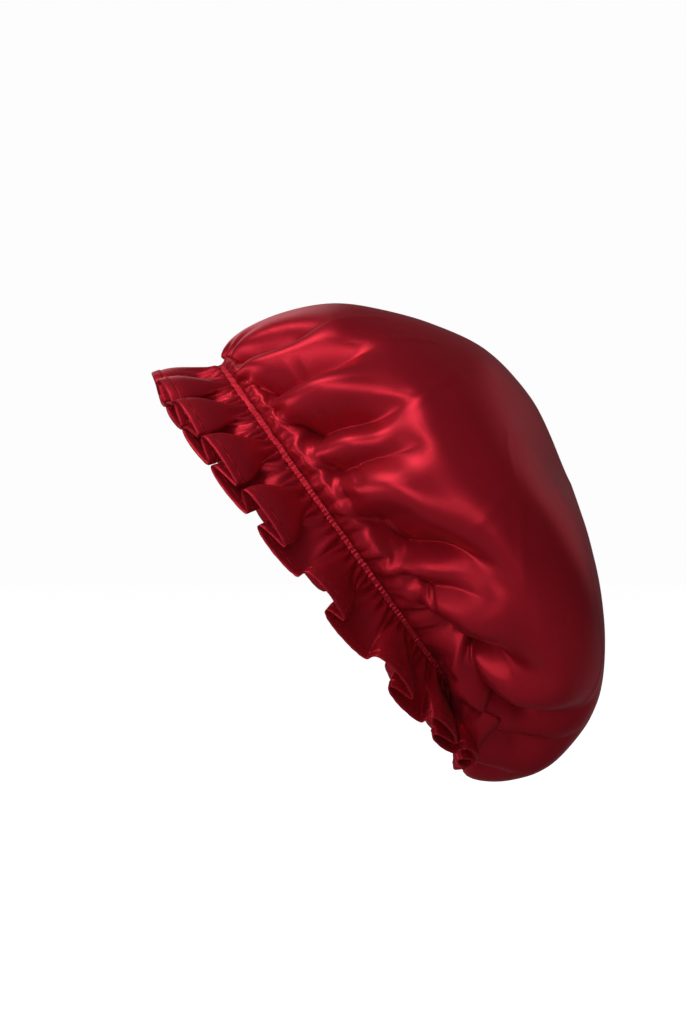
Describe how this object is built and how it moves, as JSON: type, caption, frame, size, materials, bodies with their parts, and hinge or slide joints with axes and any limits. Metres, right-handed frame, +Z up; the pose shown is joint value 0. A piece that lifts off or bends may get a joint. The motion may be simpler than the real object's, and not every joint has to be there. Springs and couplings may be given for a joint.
{
  "type": "sleep bonnet",
  "caption": "Satin sleep bonnet with a full puffed crown gathered onto a round elastic casing and a fluted, hemmed ruffle, kept in its worn form.",
  "frame": {"origin": "centre of the elastic casing's oval loop, where a head carries the bonnet", "axes": "+Z up, the wearer faces -Y, +X is the wearer's left; the loop's plane climbs from the nape to the hairline, 54.4 degrees from level"},
  "size_m": [0.2103, 0.2251, 0.2369],
  "materials": {
    "crown_satin": "glossy deep red polyester satin, fine warp-faced weave",
    "casing_satin": "the same deep red satin, shirred over elastic",
    "ruffle_satin": "the same deep red satin, gathered",
    "hem_satin": "the same satin folded double, with a lockstitch line"
  },
  "bodies": {
    "root": {"crown": "crown_satin", "elastic_casing": "casing_satin", "ruffle": "ruffle_satin", "ruffle_hem": "hem_satin"}
  },
  "joints": []
}
